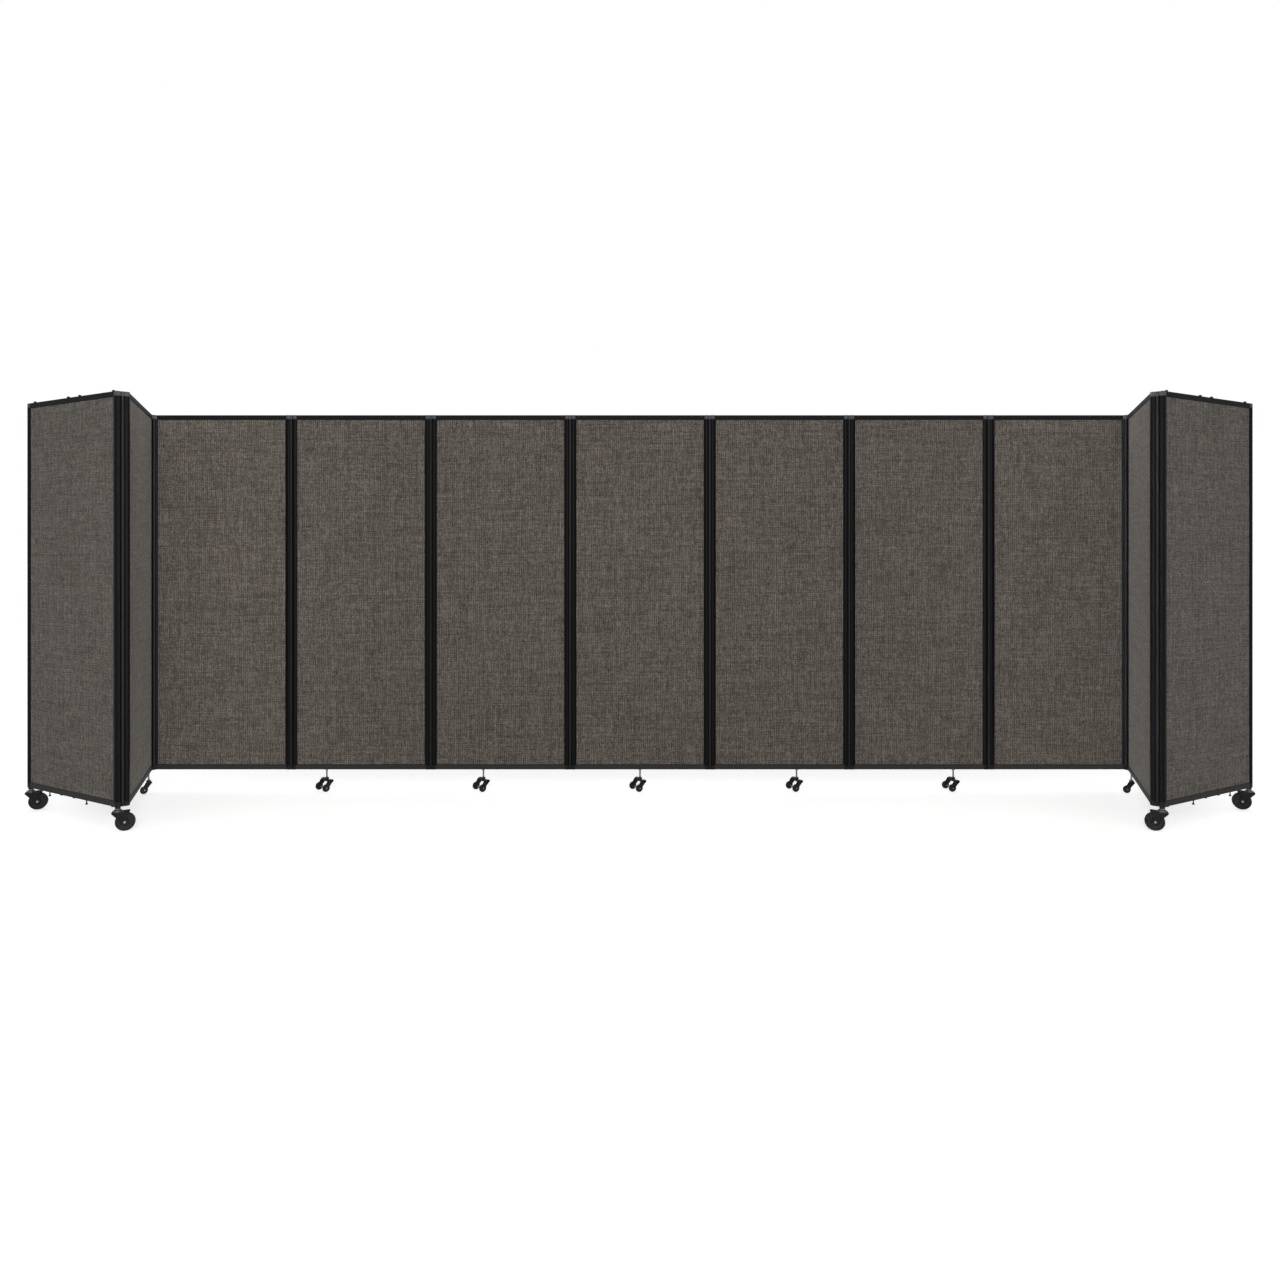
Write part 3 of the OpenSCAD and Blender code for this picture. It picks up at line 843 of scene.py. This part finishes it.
def make_panels():
    post = post_mesh()
    top_rail = rail_mesh(TOP_RAIL_H, TOP_RAIL_BLACK)
    bottom_rail = rail_mesh(BOTTOM_RAIL_H, BOTTOM_RAIL_PAINTED_FLOOR_LIGHT)
    beads = bead_mesh()
    screws = rail_screws_mesh()
    sleeve = sleeve_mesh()
    for i in PANELS:
        place = panel_place[i]
        n = two(i)
        body = f"panel_{n}"
        for side, s in (("left", -1), ("right", 1)):
            at = place @ Matrix.Translation((s * POST_X * MM, 0, 0))
            set_piece(f"post_{side}_{n}", post, at, body)
        node = f"frame_{n}"
        set_piece(f"top_rail_{n}", top_rail, place @ DOWN_FROM_TOP, body, [node])
        set_piece(f"bottom_rail_{n}", bottom_rail, place @ UP_FROM_FOOT, body)
        set_piece(f"cloth_board_{n}", board_mesh(i), place, body, [f"board_{n}"])
        set_piece(f"cloth_beads_{n}", beads, place, body)
        set_piece(f"rail_screws_{n}", screws, place, body)
        if i in INNER_PANELS:
            stem = axis_at(f"caster_swivel_{n}")
            at = Matrix.Translation((stem.x, stem.y, 0))
            set_piece(f"stem_sleeve_{n}", sleeve, at, body)
    caps = end_caps_mesh()
    for i, s in ((1, -1), (11, 1)):
        at = panel_place[i] @ Matrix.Translation((s * POST_X * MM, 0, 0))
        set_piece(f"free_end_caps_{two(i)}", caps, at, f"panel_{two(i)}")


# ---------- hinges ----------


def cap_outline():
    """Two round ends joined by a narrow waist, as one outline."""
    r = POST_D / 2
    w = STRIP_W / 2
    reach = LINK_L / 2
    turn = math.degrees(math.pi - math.acos((reach - w) / r))
    half = arc(reach, 0, r, -turn, turn, 22) + [(w, r - 1), (-w, r - 1)]
    return half + [(-x, -y) for x, y in half]


def hinge_cap_mesh(material):
    """Cap with its outer face at z = 0, and two pins going up."""
    parts = [(slab(cap_outline(), 0, CAP_H, edge=1.4), 0)]
    r = PIN_D / 2
    tip = CAP_H + CAP_GAP + PIN_L
    pin = [(r - 1.8, CAP_H - 1), (r, CAP_H - 1), (r, tip - 1), (r - 1, tip), (r - 1.8, tip)]
    for x in (-LINK_L / 2, LINK_L / 2):
        parts.append((moved(revolve(pin, 28), x=x), 0))
        head = turned(round_bolt_head(6.2, 1.4, 2.9), Matrix.Rotation(math.pi, 4, "X"))
        parts.append((moved(head, x=x), 1))
    return to_mesh(joined(parts), [material, SCREW_BLACK])


def strip_mesh():
    """Cover strip: it fills the valley between the posts and carries a
    raised round bead down its middle."""
    low = LOW_Z + CAP_H + 0.2
    high = HIGH_Z - CAP_H - 0.2
    w = STRIP_W / 2
    face = -(POST_D / 2 - 1)
    clear = POST_D / 2 + 0.6
    reach = LINK_L / 2
    bead = 1.7
    front = [(-w, face), (-bead - 0.9, face), (-bead, face - 0.15)]
    turns = (2.6, 2.1, 1.57, 1.04, 0.54)
    front += [(bead * math.cos(a), face - bead * 0.55 * math.sin(a)) for a in turns]
    front += [(bead, face - 0.15), (bead + 0.9, face), (w, face)]
    depth = 9.0
    sides = []
    for s in range(6):
        y = face + 3.2 + (depth - 3.2) * s / 5
        sides.append((min(w, reach - math.sqrt(clear * clear - y * y)), y))
    outline = front + sides + [(-x, y) for x, y in reversed(sides)]
    return to_mesh(slab(outline, low, high), [STRIP_PAINTED_HIGHLIGHT_BLACK], sharp=50)


def make_hinges():
    top_cap = hinge_cap_mesh(CAP_GREY)
    bottom_cap = hinge_cap_mesh(CAP_BLACK)
    # an end caster's stem goes through this one, so it has no bolt heads
    plain_cap = to_mesh(slab(cap_outline(), 0, CAP_H, edge=1.4), [CAP_BLACK])
    strip = strip_mesh()
    behind = Matrix.Rotation(math.pi, 4, "Z")
    for k in HINGES:
        place = hinge_place[k]
        n = two(k)
        body = f"link_{n}"
        lower = plain_cap if k in (1, 10) else bottom_cap
        node = f"hinge_link_{n}"
        set_piece(f"hinge_cap_top_{n}", top_cap, place @ DOWN_FROM_TOP, body, [node])
        set_piece(f"hinge_cap_bottom_{n}", lower, place @ UP_FROM_FOOT, body)
        set_piece(f"cover_strip_front_{n}", strip, place, body)
        set_piece(f"cover_strip_back_{n}", strip, place @ behind, body)


# ---------- end casters ----------

END_R = 47.0
RIM_R = END_R * 0.66
END_W = 32.0
END_TRAIL = 34.0
LEG_T = 3.0
LEG_Y = END_W / 2 + 2
CROWN_Z = 98.0
CROWN_T = 4.0
CROWN_X = 24.0
HORN_X = -27.0
RACE_R = 21.0
PEDAL_X = END_TRAIL + 7
PEDAL_Z = CROWN_Z + 1
AXLE_BOSS_R = 13.0
AXLE_R = 5.0
STEM_R = 5.5


def leg_outline():
    """One leg of the fork, from its horn round the axle boss to the pedal's ear."""
    ax, az = END_TRAIL, END_R
    r = AXLE_BOSS_R
    top = CROWN_Z + CROWN_T
    corners = [(HORN_X, top), (HORN_X, CROWN_Z - 4), (ax - r - 8, az + 6), (ax - r + 1, az - 6)]
    corners += [(ax - 7, az - r), (ax + 7, az - r), (ax + r, az - 2), (ax + r - 1, az + 14)]
    corners += [(PEDAL_X - 8, CROWN_Z - 12), (PEDAL_X + 5, CROWN_Z - 6), (PEDAL_X + 5, top)]
    return rounded(corners, [4, 5, 26, 12, 9, 9, 10, 30, 8, 5, 3.5], 6)


def fork_mesh():
    parts = []
    axle_hole = circle_points(AXLE_R + FIT, 24, (END_TRAIL, END_R))
    hole = AXLE_R + 0.1
    for s in (-1, 1):
        leg = upright(slab(leg_outline(), -LEG_T / 2, LEG_T / 2, edge=0.9, holes=[axle_hole]))
        parts.append(moved(leg, y=s * (LEG_Y + LEG_T / 2)))
        boss = revolve([(hole, 0), (11, 0), (11, 1.0), (9.6, 1.6), (hole, 1.6)], 32)
        boss = moved(boss, z=LEG_Y + LEG_T - 0.2)
        boss = along_y(boss) if s > 0 else upright(boss)
        parts.append(moved(boss, x=END_TRAIL, z=END_R))
    crown = mirrored([(HORN_X, -LEG_Y - 1), (CROWN_X, -LEG_Y - 1)])
    crown = rounded(crown, [6, 2, 2, 6], 5)
    parts.append(slab(crown, CROWN_Z, CROWN_Z + CROWN_T, edge=1.2))
    skirt = rounded(mirrored([(HORN_X, -8), (HORN_X + 3, -8)]), [1] * 4, 2)
    parts.append(slab([(x, y * 2) for x, y in skirt], CROWN_Z - 8, CROWN_Z + 1, edge=0.8))
    return to_mesh(joined(parts), [FORK_BLACK])


def race_mesh():
    """Ball race on the crown: two dished cups and their balls, then a nut, and a
    dust collar over the stem up to the post."""
    z = CROWN_Z + CROWN_T
    r = RACE_R
    lower = [(8, z), (r - 1, z), (r, z + 0.8), (r - 0.6, z + 2.6), (r - 3.6, z + 3.4), (8, z + 3.4)]
    upper = [(8, z + 5), (r - 3, z + 5), (r - 0.4, z + 5.8)]
    upper += [(r - 1.2, z + 7.4), (r - 5.5, z + 9), (8, z + 9)]
    ball = bmesh.new()
    bmesh.ops.create_uvsphere(ball, u_segments=10, v_segments=6, radius=1.5)
    balls = grown(RING_TREE, ball, Count=22, Radius=r - 3.4, Material=ZINC)
    nut = moved(hex_head(22, 6.2), z=z + 9.0)
    top = LOW_Z - COPE
    collar = [(0, z + 15.2), (12.5, z + 15.2), (13.5, z + 16.2), (13.5, top - 1), (12.5, top), (0, top)]
    tip = LOW_Z + 48
    stem = [(0, z + 18), (STEM_R, z + 18), (STEM_R, tip - 2), (STEM_R - 1.2, tip), (0, tip)]
    cups = [revolve(lower, 44), revolve(upper, 44)]
    parts = [*cups, moved(balls, z=z + 4.2), nut, revolve(stem, 24), (revolve(collar, 36), 1)]
    return to_mesh(joined(parts), [ZINC, FORK_BLACK])


def on_axle(bm):
    """Moves a part that was drawn about Z onto an end caster's axle."""
    return moved(along_y(bm), x=END_TRAIL, z=END_R)


def axle_mesh():
    """Axle bolt: a domed end on each side, with a dark collar under it."""
    out = LEG_Y + LEG_T
    dome = [(0, 1.4), (6.4, 1.4), (6.4, 2.6), (5.8, 4.4), (3.8, 5.4), (0, 5.7)]
    collar = [(0, 0), (8.4, 0), (8.4, 1.2), (7.6, 1.8), (0, 1.8)]
    parts = [(revolve(mirrored([(0, -out - 1), (AXLE_R - 0.2, -out - 1)]), 24), 0)]
    for s in (-1, 1):
        for profile, index in ((dome, 1), (collar, 2)):
            parts.append((revolve([(r, s * (out + z)) for r, z in profile[::s]], 28), index))
    return to_mesh(on_axle(joined(parts)), [ZINC, BOLT_STEEL, SCREW_BLACK])


def tread_mesh():
    """Rubber tread with rounded shoulders and a fine seam round its middle."""
    half = END_W / 2
    soft = 7
    profile = [(RIM_R, 1.5 - half), (END_R - 13, -half), (END_R - soft, -half)]
    profile += arc(END_R - soft, soft - half, soft, -75, 0, 5)
    profile += [(END_R, -1.2), (END_R - 0.5, -0.6), (END_R - 0.5, 0.6), (END_R, 1.2)]
    profile += arc(END_R - soft, half - soft, soft, 0, 90, 6)
    profile += [(END_R - 13, half), (RIM_R, half - 1.5)]
    return to_mesh(on_axle(revolve(profile, 72)), [TREAD_RUBBER])


def hub_mesh():
    """Hub disc with a rim, a boss and ribs between them, both sides alike."""
    half = END_W / 2
    rim = mirrored([(RIM_R - 5, 3.6 - half), (RIM_R - 4, 3 - half), (RIM_R - 0.2, 3 - half)])
    web = mirrored([(6, -4), (RIM_R - 3, -4)])
    boss = mirrored([(AXLE_R + 0.1, -half), (10.5, -half), (11.5, 1 - half)])
    rib = block((17, 2.2, END_W - 9), 0.5)
    ribs = grown(RING_TREE, rib, Count=9, Radius=19.5, Material=HUB_GREY)
    parts = [revolve(rim, 56), revolve(web, 56), revolve(boss, 40), ribs]
    return to_mesh(on_axle(joined(parts)), [HUB_GREY])


def pedal_mesh():
    """Brake pedal: a rounded pad with three grip ribs, on its pin."""
    width = 2 * LEG_Y - 4
    corners = [(-5, 3), (-4, -3.5), (2, -4.6), (10, -3.6), (15, -2), (15, 2), (10, 5), (-2, 5.4)]
    outline = rounded(corners, [2, 2, 3, 3, 1.8, 1.8, 3, 3], 4)
    pad = upright(slab(outline, -width / 2, width / 2, edge=1.2))
    end = LEG_Y + LEG_T + 1
    pin = along_y(revolve(mirrored([(0, -end), (3, -end)]), 20))
    grip = (1.2, width - 6, 1.4)
    grips = [moved(block(grip, 0.4), x=x, z=5.0 - 0.12 * (x - 2)) for x in (2, 5.2, 8.4)]
    pedal = moved(joined([pad, pin, *grips]), x=PEDAL_X, z=PEDAL_Z)
    return to_mesh(pedal, [PEDAL_BLACK])


def make_end_casters():
    # name, mesh, body, slot, and whether it replaces the body's node
    pieces = [
        ("end_fork_body", fork_mesh(), "end_fork", "fork", True),
        ("ball_race", race_mesh(), "end_fork", "fork", False),
        ("axle_bolt", axle_mesh(), "end_fork", "fork", False),
        ("end_tread", tread_mesh(), "end_wheel", "tread", True),
        ("end_hub", hub_mesh(), "end_wheel", "tread", False),
        ("pedal", pedal_mesh(), "brake_pedal", "pedal", True),
    ]
    for n in END_CASTERS:
        place = caster_place(f"end_swivel_{n}", f"end_roll_{n}")
        for name, mesh, body, slot, replaces in pieces:
            body = f"{body}_{n}"
            set_piece(f"{name}_{n}", mesh, place, body, [body] if replaces else [])


# ---------- inner casters ----------

INNER_R = 23.0
INNER_W = 12.0
INNER_TRAIL = 28.0
TWIN_TRACK = 80.0
CROSS_Z = 60.0
CROSS_R = 9.0
CHEEK_T = 3.0
CHEEK_GAP = 1.5
NOSE_L = 16.0
HEAD_R = 13.0
HEAD_Z = CROSS_Z + CROSS_R - 1
HEAD_H = 8.0
INNER_STEM_R = 5.0


def wheel_places(i):
    return [-TWIN_TRACK / 2, TWIN_TRACK / 2] if i in TWIN_PANELS else [0.0]


def yoke_half(i):
    return wheel_places(i)[-1] + INNER_W / 2 + CHEEK_GAP + CHEEK_T


def cheek_outline():
    """Side of a wheel's hood: nose, top, and the arm down to the axle's eye."""
    run = math.hypot(INNER_TRAIL, INNER_R - CROSS_Z)
    turn = math.atan2(INNER_R - CROSS_Z, INNER_TRAIL)
    c, s = math.cos(turn), math.sin(turn)

    def down_arm(u, v):
        return (u * c - v * s, CROSS_Z + u * s + v * c)

    arm = [(0, -11), (run * 0.6, -9), (run + 6, -8), (run + 8, 0), (run + 6, 8), (run * 0.6, 9), (4, 11)]
    corners = [(-NOSE_L, CROSS_Z - 1), (-8, CROSS_Z - 8.5)] + [down_arm(u, v) for u, v in arm]
    corners += [(-4, CROSS_Z + 10.5), (-NOSE_L, CROSS_Z + 6)]
    return rounded(corners, [3, 6, 8, 20, 6, 6, 6, 20, 8, 8, 3], 5)


def yoke_mesh(i):
    parts = []
    cheek_y = INNER_W / 2 + CHEEK_GAP + CHEEK_T / 2
    for middle in wheel_places(i):
        for s in (-1, 1):
            cheek = upright(slab(cheek_outline(), -CHEEK_T / 2, CHEEK_T / 2, edge=0.8))
            parts.append(moved(cheek, y=middle + s * cheek_y))
        top = rounded(mirrored([(0.5 - NOSE_L, -cheek_y), (9, -cheek_y)]), [2] * 4, 3)
        parts.append(moved(slab(top, CROSS_Z + 4, CROSS_Z + 7.5, edge=0.8), y=middle))
    half = yoke_half(i)
    tube = mirrored([(0, -half), (CROSS_R - 1, -half), (CROSS_R, 1 - half)])
    parts.append(moved(along_y(revolve(tube, 32)), z=CROSS_Z))
    z = HEAD_Z
    r = HEAD_R
    high = z + HEAD_H
    head = [(0, z - 3), (r - 3, z - 3), (r, z), (r, z + 2.6), (r - 0.7, z + 3.3), (r, z + 4)]
    head += [(r, high - 1), (r - 1, high), (0, high)]
    parts.append(revolve(head, 36))
    return to_mesh(joined(parts), [FORK_BLACK])


def inner_stem_mesh():
    """Stem of an inner caster: a nut on the yoke's head and a threaded upper part."""
    z = HEAD_Z + HEAD_H
    r = INNER_STEM_R
    nut = moved(hex_head(15, 5), z=z)
    rod = [(0, z + 4), (r, z + 4), (r, LOW_Z - 0.5), (r, LOW_Z + 28), (0, LOW_Z + 28)]
    parts = [nut, revolve(rod, 24)]
    for s in range(9):
        at = LOW_Z - 16 + s * 1.5
        thread = [(r - 0.2, at), (r + 0.35, at + 0.35), (r - 0.2, at + 0.7)]
        parts.append(revolve(thread, 24))
    return to_mesh(joined(parts), [ZINC])


def inner_wheels_mesh(i):
    """One or two small wheels with hub caps, on their axle."""
    half = INNER_W / 2
    soft = 3.5
    shoulder = arc(INNER_R - soft, soft - half, soft, -72, 0, 4)
    tread = mirrored([(11, 1 - half), (INNER_R - soft, -half), *shoulder])
    cap = mirrored([(0, -half - 0.6), (5.5, -half - 0.4), (8.5, 0.6 - half), (10.8, 0.9 - half)])
    parts = []
    for middle in wheel_places(i):
        parts.append((moved(revolve(tread, 48), z=middle), 0))
        parts.append((moved(revolve(cap, 32), z=middle), 1))
    end = yoke_half(i) + 0.4
    axle = mirrored([(0, -end), (3, -end), (4, 0.6 - end)])
    parts.append((revolve(axle, 20), 2))
    whole = moved(along_y(joined(parts)), x=INNER_TRAIL, z=INNER_R)
    return to_mesh(whole, [TREAD_RUBBER, HUB_GREY, BOLT_STEEL])


def make_inner_casters():
    stem = inner_stem_mesh()
    for i in INNER_PANELS:
        n = two(i)
        place = caster_place(f"caster_swivel_{n}", f"caster_roll_{n}")
        yoke = f"caster_yoke_{n}"
        node = f"caster_wheels_{n}"
        wheels = inner_wheels_mesh(i)
        set_piece(f"caster_hood_{n}", yoke_mesh(i), place, yoke, [yoke])
        set_piece(f"caster_stem_{n}", stem, place, yoke)
        set_piece(f"inner_wheels_{n}", wheels, place, node, [node])


# ---------- fittings on the end panels' rails ----------

# distance of each fitting from the panel's middle, towards its hinge
STUDS = [-365, -40, 66, 370]
NUBS = [-104, 15, 362]
GLIDES = [-219, 129]

# their profiles as (radius, height) points, from the rail's surface
STUD = [(0, 0), (7.5, 0), (7.5, 6), (6.6, 8.4), (4.5, 9.8), (0, 10)]
NUB = [(0, -8), (5.4, -7.8), (7.0, -6.2), (7.5, -4), (7.5, 0), (0, 0)]
GLIDE = [(0, -26), (5.8, -26), (6.8, -25), (6.8, -22.4), (5.4, -20.6), (3.2, -18), (3.2, 0), (0, 0)]


def make_fittings():
    kinds = ((STUDS, STUD, HIGH_Z, 32), (NUBS, NUB, LOW_Z, 32), (GLIDES, GLIDE, LOW_Z, 28))
    for i, to_hinge in ((1, 1), (11, -1)):
        parts = []
        for places, profile, z, steps in kinds:
            parts += [moved(revolve(profile, steps), x=to_hinge * x, z=z) for x in places]
        mesh = to_mesh(joined(parts), [PEDAL_BLACK])
        node = f"rail_fittings_{two(i)}"
        set_piece(f"rail_studs_{two(i)}", mesh, panel_place[i], f"panel_{two(i)}", [node])


# ---------- studio ----------

# the photograph is 1280 pixels wide, with the horizon at row 554
PHOTO = 1280
FOCAL_PX = 896
HORIZON_PX = 554
CAMERA_FAR = 5.473
CAMERA_HIGH = 1.44
FLOOR_GLOW = 0.6
FILL = 0.59
KEY_POWER = 168
CORNER_POWER = {-1: 8.5, 1: 7.5}


def make_camera():
    data = bpy.data.cameras.new("camera")
    data.sensor_width = 36
    data.lens = 36 * FOCAL_PX / PHOTO
    data.shift_y = -(PHOTO / 2 - HORIZON_PX) / PHOTO
    camera = linked("camera", data)
    camera.location = (0, -CAMERA_FAR, CAMERA_HIGH)
    camera.rotation_euler = (math.radians(90), 0, 0)
    bpy.context.scene.camera = camera


def seen_or_not(tree, output, seen, unseen):
    """Shows one shader to camera, glossy and transmission rays, and another to the rest."""
    path = add_node(tree, "ShaderNodeLightPath").outputs
    total = calc(tree, "ADD", path["Is Camera Ray"], path["Is Glossy Ray"])
    total = calc(tree, "ADD", total, path["Is Transmission Ray"], clamp=True)
    pick = add_node(tree, "ShaderNodeMixShader", {"Fac": total, 1: unseen, 2: seen})
    feed(tree, tree.nodes[output], {"Surface": pick.outputs[0]})


def make_floor():
    """White floor that keeps the object's soft shadow and looks white to the camera."""
    material, tree, shader = new_material("studio_floor", Roughness=0.9)
    feed(tree, shader, {"Base Color": (0.82, 0.82, 0.82, 1), "Specular IOR Level": 0.0})
    glow = add_node(tree, "ShaderNodeEmission", {"Strength": FLOOR_GLOW}).outputs[0]
    both = add_node(tree, "ShaderNodeAddShader", {0: shader.outputs[0], 1: glow}).outputs[0]
    seen_or_not(tree, "Material Output", both, shader.outputs[0])
    bm = bmesh.new()
    bmesh.ops.create_grid(bm, x_segments=1, y_segments=1, size=120)
    floor = linked("floor", to_mesh(bm, [material]))
    floor.location.z = -0.0005


def make_world():
    world = bpy.data.worlds.new("studio")
    bpy.context.scene.world = world
    world.use_nodes = True
    tree = world.node_tree
    fill = tree.nodes["Background"]
    white = tree.nodes.new("ShaderNodeBackground")
    for node, strength in ((fill, FILL), (white, 1.0)):
        feed(tree, node, {"Color": (1, 1, 1, 1), "Strength": strength})
    seen_or_not(tree, "World Output", white.outputs[0], fill.outputs[0])


def add_area_light(name, location, target, size, power, spread=180):
    """A rectangular lamp, size wide and high, whose beam is spread degrees wide."""
    data = bpy.data.lights.new(name, "AREA")
    data.shape = "RECTANGLE"
    data.size, data.size_y = size
    data.energy = power
    data.spread = math.radians(spread)
    light = linked(name, data)
    light.location = location
    aim = Vector(target) - Vector(location)
    light.rotation_euler = aim.to_track_quat("-Z", "Y").to_euler()


def make_lights():
    """One soft lamp over the camera, whose shadows the object hides, and a narrow
    one from each side into the far corner."""
    add_area_light("key", (-0.3, -7.0, 2.9), (0, 0, 1.1), (1.6, 1.8), KEY_POWER)
    for s, power in CORNER_POWER.items():
        source = (s * 6.0, -5.0, 1.5)
        corner = (-s * 2.85, -0.2, 1.2)
        add_area_light(f"corner_{s}", source, corner, (0.5, 3.8), power, spread=10)


make_camera()
make_floor()
make_world()
make_lights()
make_panels()
make_hinges()
make_end_casters()
make_inner_casters()
make_fittings()

bpy.context.scene.view_settings.view_transform = "Standard"
